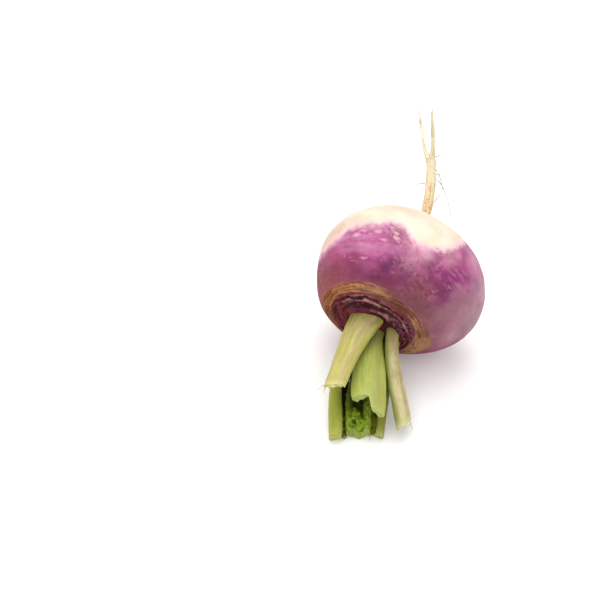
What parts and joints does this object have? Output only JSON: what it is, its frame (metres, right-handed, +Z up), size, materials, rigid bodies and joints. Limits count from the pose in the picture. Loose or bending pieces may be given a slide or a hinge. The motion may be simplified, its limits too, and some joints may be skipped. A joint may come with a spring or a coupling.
{
  "type": "turnip",
  "caption": "Purple-top turnip lying on its side, with cut leaf stalks at the crown and a thin forked tap root.",
  "frame": {"origin": "middle of the small flat spot under the bulb that the turnip rests on", "axes": "+Z up, +Y horizontally from the crown towards the tap root, +X to the right when looking along +Y; the crown points along -Y, 15 degrees below the horizontal"},
  "size_m": [0.075, 0.1979, 0.0726],
  "materials": {
    "turnip_skin": "waxy purple skin, mottled and paler towards the root, cream around the root, dark maroon scar rings at the crown, tan corky root bark",
    "pale_stalk": "smooth pale yellow-green stalk skin with fine lengthwise ribs and a pinkish streak",
    "green_stalk": "olive to bright green stalk skin with fine lengthwise ribs and a wet cut end"
  },
  "bodies": {
    "root": {"turnip_root": "turnip_skin", "leaf_stalk_upper_left": "pale_stalk", "leaf_stalk_upper_middle": "pale_stalk", "leaf_stalk_right": "pale_stalk", "leaf_stalk_lower_left": "green_stalk", "leaf_stalk_lower_middle": "green_stalk", "leaf_stalk_lower_right": "green_stalk"}
  },
  "joints": []
}
